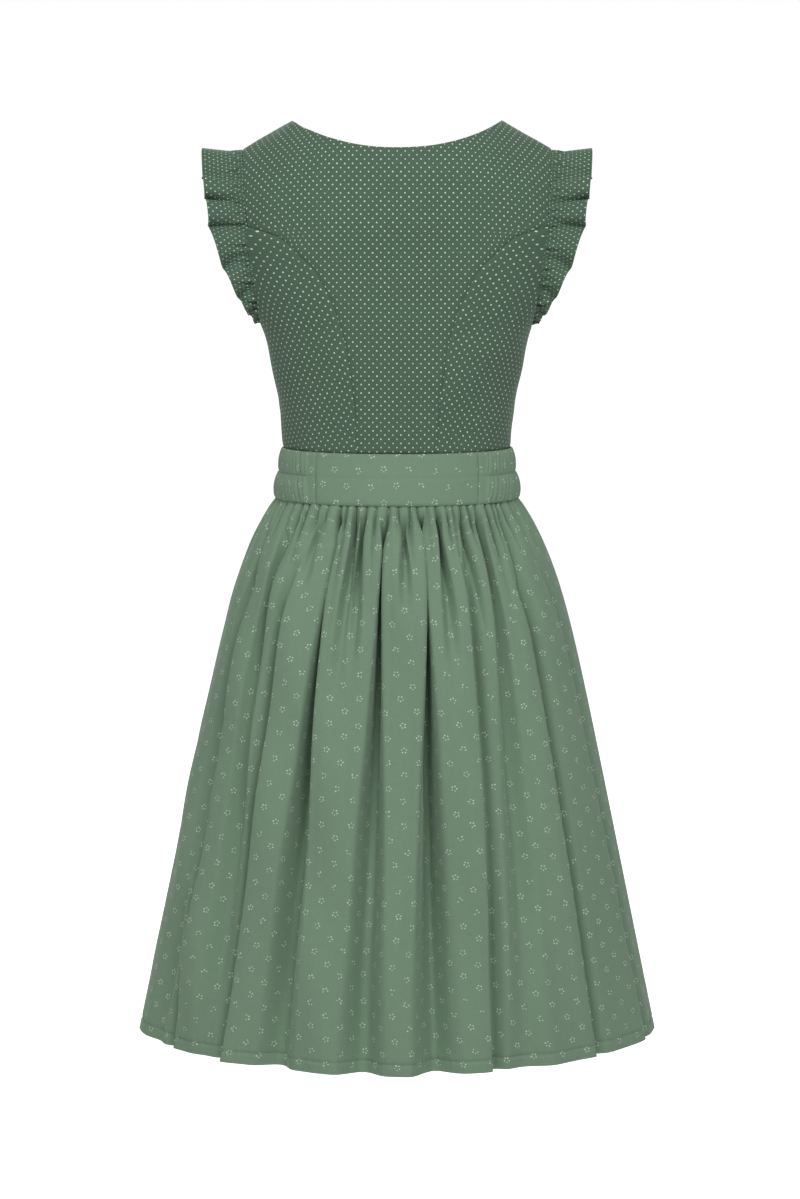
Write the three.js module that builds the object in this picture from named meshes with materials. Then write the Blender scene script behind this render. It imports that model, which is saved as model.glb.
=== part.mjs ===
// A sleeveless dirndl dress with frilled armholes, filled out as it is when worn, with nobody in it.
// Millimetres, +Z up. The front of the dress faces -Y, its back faces +Y and the wearer's left is +X.
// The origin lies midway between the neck ends of the two shoulder seams, where the wearer carries it.
// Every piece of cloth is a closed wall: an outer face worked out from the sizes below, and an inner
// face one wall thickness behind it.
import * as THREE from 'three';

// ---- driving sizes ----------------------------------------------------------------------------

const WALL = 1.5;
const FRILL_WALL = 1.2;
const SEAM_GAP = 0.3;

const NECK_HALF = 118;
const SHOULDER_HALF = 175;
const SHOULDER_FALL = 0.57;
const SHOULDER_ROUND = 90;
const BACK_NECK_DROP = 30;
const FRONT_NECK_DROP = 130;
const NECK_CURVE = 2.25;

const UNDERARM_Z = -235;
const WAIST_Z = -369;
const BAND_BOTTOM_Z = -427;
const HEM_Z = -1053;

// The torso, row by row down from the shoulders: half its breadth, its reach behind and in front of
// the side seams, and how square each half of the section is (2 is an ellipse).
const TORSO = [
  { z: 0, half: 205, back: 72, front: 75, backSquare: 2.3, frontSquare: 2.5 },
  { z: -60, half: 203, back: 86, front: 82, backSquare: 2.3, frontSquare: 2.5 },
  { z: -118, half: 195, back: 95, front: 92, backSquare: 2.3, frontSquare: 2.5 },
  { z: -160, half: 184, back: 97, front: 105, backSquare: 2.3, frontSquare: 2.45 },
  { z: -190, half: 172, back: 98, front: 117, backSquare: 2.28, frontSquare: 2.4 },
  { z: -235, half: 152.6, back: 99, front: 129, backSquare: 2.25, frontSquare: 2.35 },
  { z: -270, half: 144.2, back: 100, front: 128, backSquare: 2.2, frontSquare: 2.3 },
  { z: -315, half: 135.3, back: 97, front: 108, backSquare: 2.15, frontSquare: 2.25 },
  { z: -340, half: 132.4, back: 95.5, front: 96, backSquare: 2.15, frontSquare: 2.2 },
  { z: WAIST_Z, half: 129.9, back: 95, front: 88.5, backSquare: 2.15, frontSquare: 2.15 },
];

// Armhole edges, seen square from behind and from in front: how far out they lie at each height.
const BACK_ARMHOLE = [
  { z: -32.5, half: SHOULDER_HALF },
  { z: -89, half: 171 },
  { z: -118, half: 168.4 },
  { z: -134, half: 166.8 },
  { z: -190, half: 159 },
  { z: UNDERARM_Z, half: 152.6 },
];
const FRONT_ARMHOLE = [
  { z: -32.5, half: SHOULDER_HALF },
  { z: -89, half: 166.5 },
  { z: -150, half: 159.5 },
  { z: -190, half: 156 },
  { z: UNDERARM_Z, half: 152.6 },
];

// Princess seams between centre and side panels, from the armhole down to the waist.
const BACK_PRINCESS = [
  { z: -118, half: 168.4 },
  { z: -128, half: 135 },
  { z: -145, half: 113 },
  { z: -166, half: 92 },
  { z: -189, half: 78.5 },
  { z: -211, half: 68.5 },
  { z: -232, half: 61.7 },
  { z: -262, half: 54.5 },
  { z: -315, half: 47.7 },
  { z: WAIST_Z, half: 44.8 },
];
const FRONT_PRINCESS = [
  { z: -150, half: 159.5 },
  { z: -160, half: 138 },
  { z: -178, half: 118 },
  { z: -205, half: 102 },
  { z: -235, half: 92 },
  { z: -262, half: 84 },
  { z: -295, half: 73 },
  { z: -330, half: 61 },
  { z: WAIST_Z, half: 52 },
];

// How far the armhole frill stands out from its seam at each height, the same in front and behind,
// and how far it leans from straight out towards lying flat round the armhole, in degrees.
const FRILL = [
  { z: -32, wide: 46, lean: -16 },
  { z: -60, wide: 46, lean: -2 },
  { z: -90, wide: 44, lean: 10 },
  { z: -118, wide: 42, lean: 16 },
  { z: -142, wide: 38, lean: 17 },
  { z: -170, wide: 31, lean: 15 },
  { z: -206, wide: 19, lean: 9 },
  { z: -230, wide: 7, lean: 3 },
];
const FRILL_END_Z = -230;
const FRILL_STEP = 9;
const FRILL_WAVE = 33;
const FRILL_SWING = 26;

// The waistband's section at its top and bottom edges, and where its back and front seams stand.
const BAND = [
  { z: WAIST_Z, half: 131.5, back: 96.5, front: 90, backSquare: 2.15, frontSquare: 2.15 },
  { z: BAND_BOTTOM_Z, half: 140.2, back: 102.4, front: 97.4, backSquare: 2.15, frontSquare: 2.15 },
];
const BAND_SEAM_HALF = 91.5;

// The skirt's section: a size at the band that swells out quickly and then spreads evenly to the hem.
const SKIRT_SWELL_DROP = 62;
const SKIRT = {
  half: { start: 140, swell: 31.4, spread: 0.21 },
  back: { start: 102, swell: 25, spread: 0.125 },
  front: { start: 97, swell: 25, spread: 0.15 },
  square: { start: 2.15, spread: -0.4 / (BAND_BOTTOM_Z - HEM_Z) },
};

// Long troughs of the skirt. Angles run round from the middle of the panel, in degrees, towards the
// wearer's left: each trough's place at the band and at the hem, its depth and its half width there.
const BACK_FOLDS = [
  { atBand: 72, atHem: 79, deepBand: 7, deepHem: 9, broad: 4 },
  { atBand: 61, atHem: 60, deepBand: 8, deepHem: 9, broad: 4 },
  { atBand: 49, atHem: 54, deepBand: 7, deepHem: 2, broad: 3.5 },
  { atBand: 34, atHem: 40, deepBand: 12, deepHem: 11, broad: 4 },
  { atBand: 23, atHem: 27, deepBand: 9, deepHem: 2, broad: 3.5 },
  { atBand: 8, atHem: 12, deepBand: 12, deepHem: 11, broad: 4 },
  { atBand: -15, atHem: -12, deepBand: 13, deepHem: 11, broad: 4 },
  { atBand: -32, atHem: -30, deepBand: 9, deepHem: 8, broad: 4 },
  { atBand: -47, atHem: -42, deepBand: 10, deepHem: 8, broad: 4 },
  { atBand: -60, atHem: -66, deepBand: 9, deepHem: 8, broad: 4 },
  { atBand: -72, atHem: -81, deepBand: 7, deepHem: 9, broad: 4 },
];
const FRONT_FOLDS = [
  { atBand: 74, atHem: 77, deepBand: 7, deepHem: 9, broad: 4 },
  { atBand: 58, atHem: 62, deepBand: 9, deepHem: 9, broad: 4 },
  { atBand: 41, atHem: 45, deepBand: 11, deepHem: 10, broad: 4 },
  { atBand: 27, atHem: 29, deepBand: 8, deepHem: 3, broad: 3.5 },
  { atBand: 13, atHem: 16, deepBand: 12, deepHem: 11, broad: 4 },
  { atBand: -6, atHem: -7, deepBand: 11, deepHem: 9, broad: 4 },
  { atBand: -24, atHem: -26, deepBand: 12, deepHem: 11, broad: 4 },
  { atBand: -43, atHem: -44, deepBand: 9, deepHem: 8, broad: 4 },
  { atBand: -55, atHem: -61, deepBand: 9, deepHem: 9, broad: 4 },
  { atBand: -73, atHem: -78, deepBand: 7, deepHem: 9, broad: 4 },
];
const FOLDS_FULL_BELOW = 45;

// How finely each piece is divided. Shares run from 0 at one edge of a piece to 1 at the other.
const NECK_SHARE = NECK_HALF / SHOULDER_HALF;
const CENTRE_HALF_COLUMNS = [0.22, 0.42, 0.57, NECK_SHARE, 0.84, 1];
const YOKE_ROWS = [0, 0.045, 0.16, 0.36, 0.65];
const SEAM_ROWS = [0, 0.03, 0.08, 0.15, 0.26, 0.42, 0.62, 0.82, 1];
const SIDE_COLUMNS = steps(6);
const BAND_ROWS = steps(2);
const BAND_COLUMNS = steps(8);
const SKIRT_COLUMNS = steps(56);
const SKIRT_ROWS = [0, 14, 34, 64, 110, 180, 270, 370, 480, 580, BAND_BOTTOM_Z - HEM_Z];
const FRILL_ROWS = [0, 0.2, 0.6, 1];

const DOTTED = { color: '#5d7361', roughness: 0.9, metalness: 0 };
const SPRIGGED = { color: '#6a846e', roughness: 0.88, metalness: 0 };

function cotton(finish) {
  return new THREE.MeshStandardMaterial(finish);
}

// ---- numbers and tables -----------------------------------------------------------------------

function steps(count) {
  return Array.from({ length: count + 1 }, (_, i) => i / count);
}

function mix(a, b, share) {
  return a + (b - a) * share;
}

const radians = THREE.MathUtils.degToRad;

// Reads one column of a table whose rows go down in z, smoothly between the rows.
function column(table, key, z) {
  const last = table.length - 1;
  if (z >= table[0].z) return table[0][key];
  if (z <= table[last].z) return table[last][key];
  const above = table.findIndex((row, i) => i < last && z > table[i + 1].z);
  const gradient = (i) => {
    const before = table[Math.max(i - 1, 0)];
    const after = table[Math.min(i + 1, last)];
    return (after[key] - before[key]) / (after.z - before.z);
  };
  const span = table[above + 1].z - table[above].z;
  const t = (z - table[above].z) / span;
  const start = table[above][key] * (1 + 2 * t) * (1 - t) ** 2 + gradient(above) * span * t * (1 - t) ** 2;
  const end = table[above + 1][key] * t * t * (3 - 2 * t) - gradient(above + 1) * span * t * t * (1 - t);
  return start + end;
}

// ---- the torso --------------------------------------------------------------------------------

// A side of the dress: which way it faces along Y, and its own edges and seams.
const BACK = { face: 1, reach: 'back', square: 'backSquare', armhole: BACK_ARMHOLE,
  princess: BACK_PRINCESS, neckDrop: BACK_NECK_DROP };
const FRONT = { face: -1, reach: 'front', square: 'frontSquare', armhole: FRONT_ARMHOLE,
  princess: FRONT_PRINCESS, neckDrop: FRONT_NECK_DROP };

function shoulderLine(x) {
  return -SHOULDER_FALL * (Math.abs(x) - NECK_HALF);
}

function topEdge(side, x) {
  const across = Math.abs(x) / NECK_HALF;
  return across < 1 ? -side.neckDrop * (1 - across ** NECK_CURVE) : shoulderLine(x);
}

// How far the cloth has rounded over the shoulder: 0 on the shoulder seam, 1 where it hangs upright.
function rounding(x, z) {
  return THREE.MathUtils.clamp((shoulderLine(x) - z) / SHOULDER_ROUND, 0, 1);
}

// What is left of a section's reach at x, as a share, before the shoulder's rounding.
function sectionShare(table, side, x, z) {
  const square = column(table, side.square, z);
  const across = Math.min(Math.abs(x) / column(table, 'half', z), 1);
  return (1 - across ** square) ** (1 / square);
}

function torsoPoint(side, x, z) {
  const round = Math.sqrt(1 - (1 - rounding(x, z)) ** 2);
  const y = column(TORSO, side.reach, z) * sectionShare(TORSO, side, x, z) * round;
  return new THREE.Vector3(x, side.face * y, z);
}

// Zero on the torso's surface and growing outwards, in a form that stays smooth at the shoulder seam
// and in another that stays smooth at the side seam.
function torsoLevel(side, point) {
  const { x, y, z } = point;
  const up = rounding(x, z);
  const reach = column(TORSO, side.reach, z);
  if (up < 0.5) {
    return (y / (reach * sectionShare(TORSO, side, x, z))) ** 2 + (1 - up) ** 2 - 1;
  }
  const round = Math.sqrt(1 - (1 - up) ** 2);
  const square = column(TORSO, side.square, z);
  return (Math.abs(x) / column(TORSO, 'half', z)) ** square + (Math.abs(y) / (reach * round)) ** square - 1;
}

function torsoNormal(side, point) {
  const NUDGE = 0.01;
  const slopeAlong = (axis) => {
    const ahead = point.clone().setComponent(axis, point.getComponent(axis) + NUDGE);
    const behind = point.clone().setComponent(axis, point.getComponent(axis) - NUDGE);
    return torsoLevel(side, ahead) - torsoLevel(side, behind);
  };
  // Just above the shoulder seam the level has no more slope, so the seam's own normal is used.
  if (rounding(point.x, point.z) < 0.001) {
    return new THREE.Vector3(Math.sign(point.x) * SHOULDER_FALL, 0, 1).normalize();
  }
  return new THREE.Vector3(slopeAlong(0), slopeAlong(1), slopeAlong(2)).normalize();
}

function onTorso(side, x, z) {
  const point = torsoPoint(side, x, z);
  return { point, normal: torsoNormal(side, point) };
}

// The point of a section that lies in a given direction, in degrees round from the middle of the side.
function sectionByAngle(table, side, angle, z) {
  const square = column(table, side.square, z);
  const half = column(table, 'half', z);
  const reach = column(table, side.reach, z);
  const sine = Math.sin(radians(angle));
  const cosine = Math.max(Math.cos(radians(angle)), 0);
  const radius = (Math.abs(sine / half) ** square + (cosine / reach) ** square) ** (-1 / square);
  return new THREE.Vector3(radius * sine, side.face * radius * cosine, z);
}

// ---- bodice panels ----------------------------------------------------------------------------

// Half the width of the centre panel: the armhole down to the princess seam, then that seam.
function centreHalf(side, z) {
  const table = z > side.princess[0].z ? side.armhole : side.princess;
  return column(table, 'half', z);
}

function centrePanel(side) {
  const across = [...CENTRE_HALF_COLUMNS.map((share) => -share).reverse(), 0, ...CENTRE_HALF_COLUMNS];
  const tipZ = shoulderLine(SHOULDER_HALF);
  const seamStart = (tipZ - side.princess[0].z) / (tipZ - WAIST_Z);
  const down = [
    ...YOKE_ROWS.map((share) => share * seamStart),
    ...SEAM_ROWS.map((share) => mix(seamStart, 1, share)),
  ];
  return down.map((share) => across.map((part) => {
    const z = mix(topEdge(side, part * SHOULDER_HALF), WAIST_Z, share);
    const x = share === 0 ? part * SHOULDER_HALF : part * centreHalf(side, z);
    return onTorso(side, x, z);
  }));
}

// The armhole edge of a side panel, from its princess seam at share 0 down to the underarm at 1.
function armholeZ(side, share) {
  return mix(side.princess[0].z, UNDERARM_Z, Math.sin(share * Math.PI / 2));
}

function angleAt(side, x, z) {
  const point = torsoPoint(side, x, z);
  return THREE.MathUtils.radToDeg(Math.atan2(point.x, Math.abs(point.y)));
}

// A side panel fills the space between its four edges: armhole above, waist below, princess seam at
// share 0 and side seam at share 1 across. It is worked out for the wearer's left.
function sidePanel(side) {
  const seamTop = side.princess[0].z;
  const seamAngle = (share) => {
    const z = mix(seamTop, WAIST_Z, share);
    return angleAt(side, column(side.princess, 'half', z), z);
  };
  return SEAM_ROWS.map((down) => SIDE_COLUMNS.map((across) => {
    const edgeZ = armholeZ(side, across);
    const edgeAngle = across === 1 ? 90 : angleAt(side, column(side.armhole, 'half', edgeZ), edgeZ);
    const straight = mix(seamAngle(0), 90, across);
    const angle = mix(seamAngle(down), 90, across) + (1 - down) * (edgeAngle - straight);
    const point = sectionByAngle(TORSO, side, angle, mix(edgeZ, WAIST_Z, down));
    return { point, normal: torsoNormal(side, point) };
  }));
}

// ---- armhole frill ----------------------------------------------------------------------------

// The wearer's left armhole, corner by corner as the panels have it, from underarm over the shoulder
// to underarm, behind first.
function armholeEdge() {
  const half = (side) => {
    const sideEdge = sidePanel(side)[0].slice(1).reverse();
    const centreEdge = centrePanel(side).slice(0, YOKE_ROWS.length + 1).map((row) => row[row.length - 1]);
    return [...sideEdge, ...centreEdge.reverse()];
  };
  const front = half(FRONT).reverse().slice(1);
  return [...half(BACK), ...front];
}

// The same edge in short equal steps along its straight stretches, above the frill's ends.
function frillStations() {
  const corners = armholeEdge();
  const stations = [];
  corners.slice(1).forEach((end, i) => {
    const start = corners[i];
    const count = Math.max(1, Math.round(start.point.distanceTo(end.point) / FRILL_STEP));
    for (let k = 0; k < count; k += 1) {
      stations.push({
        point: start.point.clone().lerp(end.point, k / count),
        normal: start.normal.clone().lerp(end.normal, k / count).normalize(),
      });
    }
  });
  return stations.filter((station) => station.point.z > FRILL_END_Z);
}

function frillGrid() {
  const stations = frillStations();
  const outwards = new THREE.Vector3(1, 0, 0);
  let run = 0;
  return stations.map(({ point, normal }, i) => {
    const before = stations[Math.max(i - 1, 0)].point;
    const after = stations[Math.min(i + 1, stations.length - 1)].point;
    run += i > 0 ? point.distanceTo(before) : 0;
    const along = after.clone().sub(before).normalize();
    const leaving = along.clone().cross(normal).normalize();
    if (leaving.x < 0) leaving.negate();
    const radial = along.clone().cross(outwards).normalize();
    if (radial.dot(normal) < 0) radial.negate();
    const wide = column(FRILL, 'wide', point.z);
    const swing = FRILL_SWING * Math.sin(2 * Math.PI * run / FRILL_WAVE);
    const lean = radians(column(FRILL, 'lean', point.z) + swing * wide / FRILL[0].wide);
    const hanging = outwards.clone().multiplyScalar(Math.cos(lean)).addScaledVector(radial, Math.sin(lean));
    const place = point.clone().addScaledVector(normal, (FRILL_WALL - WALL) / 2)
      .addScaledVector(leaving, SEAM_GAP);
    return FRILL_ROWS.map((share, row) => {
      const turned = leaving.clone().lerp(hanging, Math.min(share / FRILL_ROWS[2], 1)).normalize();
      if (row > 0) place.addScaledVector(turned, (share - FRILL_ROWS[row - 1]) * wide);
      const facing = along.clone().cross(turned).normalize();
      if (facing.dot(radial) < 0) facing.negate();
      return { point: place.clone(), normal: row === 0 ? normal.clone() : facing };
    });
  });
}

// ---- waistband --------------------------------------------------------------------------------

function bandNormal(side, point) {
  const square = column(BAND, side.square, point.z);
  const x = Math.sign(point.x) * Math.abs(point.x) ** (square - 1) / column(BAND, 'half', point.z) ** square;
  const y = Math.abs(point.y) ** (square - 1) / column(BAND, side.reach, point.z) ** square;
  return new THREE.Vector3(x, side.face * y, 0).normalize();
}

function bandPiece(side, fromAngle, toAngle) {
  return BAND_ROWS.map((down) => BAND_COLUMNS.map((across) => {
    const z = mix(WAIST_Z, BAND_BOTTOM_Z, down);
    const point = sectionByAngle(BAND, side, mix(fromAngle(z), toAngle(z), across), z);
    return { point, normal: bandNormal(side, point) };
  }));
}

// The angle at which a band seam stands, from the middle of its side.
function bandSeamAngle(side) {
  return (z) => {
    const y = column(BAND, side.reach, z) * sectionShare(BAND, side, BAND_SEAM_HALF, z);
    return THREE.MathUtils.radToDeg(Math.atan2(BAND_SEAM_HALF, y));
  };
}

// A shirred side piece runs from the back seam round the side to the front seam, in one wall.
function bandSide() {
  const rows = bandPiece(BACK, bandSeamAngle(BACK), () => 90);
  const onward = bandPiece(FRONT, () => 90, bandSeamAngle(FRONT));
  return rows.map((row, i) => [...row, ...onward[i].slice(1)]);
}

// ---- skirt ------------------------------------------------------------------------------------

function skirtSize(name, drop) {
  const { start, swell, spread } = SKIRT[name];
  return start + swell * (1 - Math.exp(-drop / SKIRT_SWELL_DROP)) + spread * drop;
}

// How deep the troughs are at an angle round the panel and a drop below the band.
function troughDepth(folds, angle, drop) {
  const share = drop / (BAND_BOTTOM_Z - HEM_Z);
  const grown = 1 - Math.exp(-drop / FOLDS_FULL_BELOW);
  return folds.reduce((sum, fold) => {
    const away = (angle - mix(fold.atBand, fold.atHem, share)) / fold.broad;
    return sum + grown * mix(fold.deepBand, fold.deepHem, share) * Math.exp(-away * away);
  }, 0);
}

function skirtPoint(side, folds, angle, drop) {
  const square = SKIRT.square.start + SKIRT.square.spread * drop;
  const half = skirtSize('half', drop);
  const reach = skirtSize(side.reach, drop);
  const sine = Math.sin(radians(angle));
  const cosine = Math.cos(radians(angle));
  const radius = (Math.abs(sine / half) ** square + Math.abs(cosine / reach) ** square) ** (-1 / square);
  const inner = radius - troughDepth(folds, angle, drop);
  return new THREE.Vector3(inner * sine, side.face * inner * cosine, BAND_BOTTOM_Z - drop);
}

// Under the band the cloth leaves square to the seam. At a side seam the front and the back hang in
// one surface, so both take the seam's plain normal.
function skirtNormal(side, folds, angle, drop) {
  const NUDGE = 0.05;
  const down = skirtPoint(side, folds, angle, drop + NUDGE).sub(skirtPoint(side, folds, angle, drop));
  if (Math.abs(angle) === 90) {
    const upwards = drop === 0 ? 0 : down.x * Math.sign(angle);
    return new THREE.Vector3(-Math.sign(angle) * down.z, 0, upwards).normalize();
  }
  const left = skirtPoint(side, folds, angle + NUDGE, drop);
  const round = left.sub(skirtPoint(side, folds, angle - NUDGE, drop));
  const normal = down.cross(round).multiplyScalar(side.face);
  if (drop === 0) normal.z = 0;
  return normal.normalize();
}

function skirtPanel(side, folds) {
  return SKIRT_ROWS.map((drop) => SKIRT_COLUMNS.map((across) => {
    const angle = mix(-90, 90, across);
    return {
      point: skirtPoint(side, folds, angle, drop),
      normal: skirtNormal(side, folds, angle, drop),
    };
  }));
}

// ---- from a grid of points to a wall ----------------------------------------------------------

// Draws the outermost points of a grid in from a seam, square to it, by half the seam's gap.
function drawIn(edge, inside) {
  const shifts = edge.map(({ point, normal }, i) => {
    const before = edge[Math.max(i - 1, 0)].point;
    const after = edge[Math.min(i + 1, edge.length - 1)].point;
    const square = after.clone().sub(before).cross(normal).normalize();
    if (square.dot(inside[i].point.clone().sub(point)) < 0) square.negate();
    return square.multiplyScalar(SEAM_GAP / 2);
  });
  edge.forEach((corner, i) => corner.point.add(shifts[i]));
}

function drawInSeams(grid, seams) {
  const lastRow = grid.length - 1;
  const lastColumn = grid[0].length - 1;
  const columnOf = (index) => grid.map((row) => row[index]);
  if (seams.includes('start')) drawIn(columnOf(0), columnOf(1));
  if (seams.includes('end')) drawIn(columnOf(lastColumn), columnOf(lastColumn - 1));
  if (seams.includes('top')) drawIn(grid[0], grid[1]);
  if (seams.includes('bottom')) drawIn(grid[lastRow], grid[lastRow - 1]);
}

function mirrored(grid) {
  const flip = ({ point, normal }) => ({
    point: new THREE.Vector3(-point.x, point.y, point.z),
    normal: new THREE.Vector3(-normal.x, normal.y, normal.z),
  });
  return grid.map((row) => row.map(flip));
}

// Closes a grid into a wall: its outer face, an inner face behind it, and a rim round the edges.
function wall(name, grid, material, { seams = [], thickness = WALL } = {}) {
  drawInSeams(grid, seams);
  const rows = grid.length;
  const columns = grid[0].length;
  const count = rows * columns;
  const outer = grid.flat().map(({ point }) => point);
  const inner = grid.flat().map(({ point, normal }) => point.clone().addScaledVector(normal, -thickness));
  const at = (i, j) => i * columns + j;
  const middleRow = Math.floor((rows - 1) / 2);
  const middleColumn = Math.floor((columns - 1) / 2);
  const middle = grid[middleRow][middleColumn];
  const downwards = grid[middleRow + 1][middleColumn].point.clone().sub(middle.point);
  const sideways = grid[middleRow][middleColumn + 1].point.clone().sub(middle.point);
  const turned = downwards.cross(sideways).dot(middle.normal) < 0;
  const faces = [];
  const addQuad = (a, b, c, d) => {
    const corners = turned ? [a, d, c, b] : [a, b, c, d];
    faces.push(corners[0], corners[1], corners[2], corners[0], corners[2], corners[3]);
  };
  for (let i = 0; i < rows - 1; i += 1) {
    for (let j = 0; j < columns - 1; j += 1) {
      addQuad(at(i, j), at(i + 1, j), at(i + 1, j + 1), at(i, j + 1));
      addQuad(count + at(i, j), count + at(i, j + 1), count + at(i + 1, j + 1), count + at(i + 1, j));
    }
  }
  const addRim = (a, b) => addQuad(a, b, count + b, count + a);
  for (let j = 0; j < columns - 1; j += 1) {
    addRim(at(0, j), at(0, j + 1));
    addRim(at(rows - 1, j + 1), at(rows - 1, j));
  }
  for (let i = 0; i < rows - 1; i += 1) {
    addRim(at(i + 1, 0), at(i, 0));
    addRim(at(i, columns - 1), at(i + 1, columns - 1));
  }
  const geometry = new THREE.BufferGeometry();
  const positions = [...outer, ...inner].flatMap((point) => point.toArray());
  geometry.setAttribute('position', new THREE.Float32BufferAttribute(positions, 3));
  geometry.setIndex(faces);
  geometry.computeVertexNormals();
  const mesh = new THREE.Mesh(geometry, material);
  mesh.name = name;
  return mesh;
}

// ---- the dress --------------------------------------------------------------------------------

const dress = new THREE.Group();
const ALL_SEAMS = ['start', 'end', 'top', 'bottom'];

for (const [name, side] of [['back', BACK], ['front', FRONT]]) {
  dress.add(wall(`${name}_centre`, centrePanel(side), cotton(DOTTED), { seams: ALL_SEAMS }));
  const seams = ['start', 'end', 'bottom'];
  dress.add(wall(`${name}_side_left`, sidePanel(side), cotton(DOTTED), { seams }));
  dress.add(wall(`${name}_side_right`, mirrored(sidePanel(side)), cotton(DOTTED), { seams }));
  const seamAngle = bandSeamAngle(side);
  const bandCentre = bandPiece(side, (z) => -seamAngle(z), seamAngle);
  dress.add(wall(`band_${name}`, bandCentre, cotton(SPRIGGED), { seams: ALL_SEAMS }));
}

dress.add(wall('band_side_left', bandSide(), cotton(SPRIGGED), { seams: ALL_SEAMS }));
dress.add(wall('band_side_right', mirrored(bandSide()), cotton(SPRIGGED), { seams: ALL_SEAMS }));

dress.add(wall('frill_left', frillGrid(), cotton(DOTTED), { thickness: FRILL_WALL }));
dress.add(wall('frill_right', mirrored(frillGrid()), cotton(DOTTED), { thickness: FRILL_WALL }));

const skirtSeams = { seams: ['start', 'end', 'top'] };
dress.add(wall('skirt_back', skirtPanel(BACK, BACK_FOLDS), cotton(SPRIGGED), skirtSeams));
dress.add(wall('skirt_front', skirtPanel(FRONT, FRONT_FOLDS), cotton(SPRIGGED), skirtSeams));

export default dress;
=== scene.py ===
# A sleeveless dirndl dress with frilled armholes, filled out as it is when worn, seen from behind.
# Metres, +Z up. The front of the dress faces -Y, its back +Y, and the wearer's left is +X. The origin
# lies midway between the neck ends of the shoulder seams, where the wearer carries the dress.
import math

import bpy
import numpy as np
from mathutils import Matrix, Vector


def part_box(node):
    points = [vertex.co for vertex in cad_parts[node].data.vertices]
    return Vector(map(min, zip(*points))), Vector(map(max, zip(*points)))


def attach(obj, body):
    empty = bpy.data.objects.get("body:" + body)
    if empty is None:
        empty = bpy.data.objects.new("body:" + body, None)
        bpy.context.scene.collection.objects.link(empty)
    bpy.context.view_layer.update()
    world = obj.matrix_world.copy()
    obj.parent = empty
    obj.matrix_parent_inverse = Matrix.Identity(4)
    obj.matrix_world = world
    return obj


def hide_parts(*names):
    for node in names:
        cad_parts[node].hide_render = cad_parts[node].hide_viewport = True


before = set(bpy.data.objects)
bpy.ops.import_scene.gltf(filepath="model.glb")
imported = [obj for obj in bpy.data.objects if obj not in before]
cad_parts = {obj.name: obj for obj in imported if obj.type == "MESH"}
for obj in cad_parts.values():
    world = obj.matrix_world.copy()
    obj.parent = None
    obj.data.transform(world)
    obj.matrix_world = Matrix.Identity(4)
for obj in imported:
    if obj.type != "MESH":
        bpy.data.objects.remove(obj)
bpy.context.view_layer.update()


# ---- Camera, light and floor --------------------------------------------------------------------
# The camera stands behind the dress at shoulder height and dips a little towards the waist. Broad
# soft lights fill in from above and from both sides, over a plain pale floor.
CAMERA_PLACE = (-0.0034, 3.5, -0.046)
CAMERA_DIP = math.radians(8.13)
CAMERA_LENS = 92.1
FLOOR_LEVEL = -1.40
FLOOR_SIZE = 60.0
FLOOR_GLOW = 0.85
SKY_LIGHT = 0.30
SKY_SEEN = 1.0
# Each light: its place, the side of its square, and its power in watts.
LIGHTS = {
    "light_above": ((-0.9, 2.7, 2.0), 1.2, 52.0),
    "light_left": ((1.1, 2.7, 1.7), 1.2, 36.0),
    "light_front": ((0.4, -3.2, 1.6), 2.6, 42.0),
}
LIGHTS_AIM = Vector((0, 0, -0.5))

bpy.context.scene.view_settings.view_transform = "Standard"
bpy.ops.object.camera_add(location=CAMERA_PLACE, rotation=(math.pi / 2 - CAMERA_DIP, 0, math.pi))
camera = bpy.context.object
camera.data.lens = CAMERA_LENS
camera.data.sensor_width = 36
bpy.context.scene.camera = camera

for name, (place, side, power) in LIGHTS.items():
    turn = (LIGHTS_AIM - Vector(place)).to_track_quat("-Z", "Y").to_euler()
    bpy.ops.object.light_add(type="AREA", location=place, rotation=turn)
    light = bpy.context.object
    light.name = name
    light.data.size = side
    light.data.energy = power


def node(tree, kind, inputs=None, **settings):
    """Adds a shader node, with sockets linked or set by name or number, and returns it."""
    made = tree.nodes.new(kind)
    for name, value in settings.items():
        setattr(made, name, value)
    for key, value in (inputs or {}).items():
        if isinstance(value, bpy.types.NodeSocket):
            tree.links.new(value, made.inputs[key])
        else:
            made.inputs[key].default_value = value
    return made


world = bpy.data.worlds.new("pale_surroundings")
bpy.context.scene.world = world
world.use_nodes = True
world.node_tree.nodes.clear()
seen = node(world.node_tree, "ShaderNodeLightPath").outputs["Is Camera Ray"]
strength = node(world.node_tree, "ShaderNodeMix", {"Factor": seen, 2: SKY_LIGHT, 3: SKY_SEEN}, data_type="FLOAT")
sky = node(world.node_tree, "ShaderNodeBackground", {"Color": (1, 1, 1, 1), "Strength": strength.outputs[0]})
node(world.node_tree, "ShaderNodeOutputWorld", {"Surface": sky.outputs[0]})

bpy.ops.object.select_all(action="DESELECT")
bpy.ops.mesh.primitive_circle_add(vertices=64, radius=FLOOR_SIZE / 2, fill_type="NGON",
                                  location=(0, 0, FLOOR_LEVEL))
floor = bpy.context.object
floor.name = "floor"
floor_paint = bpy.data.materials.new("pale_floor")
floor_paint.use_nodes = True
paint = floor_paint.node_tree.nodes["Principled BSDF"]
paint.inputs["Base Color"].default_value = (0.8, 0.8, 0.8, 1)
paint.inputs["Roughness"].default_value = 0.9
paint.inputs["Specular IOR Level"].default_value = 0.1
paint.inputs["Emission Color"].default_value = (1, 1, 1, 1)
seen = node(floor_paint.node_tree, "ShaderNodeLightPath").outputs["Is Camera Ray"]
glow = node(floor_paint.node_tree, "ShaderNodeMath", {0: seen, 1: FLOOR_GLOW}, operation="MULTIPLY").outputs[0]
floor_paint.node_tree.links.new(glow, paint.inputs["Emission Strength"])
floor.data.materials.append(floor_paint)


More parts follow.
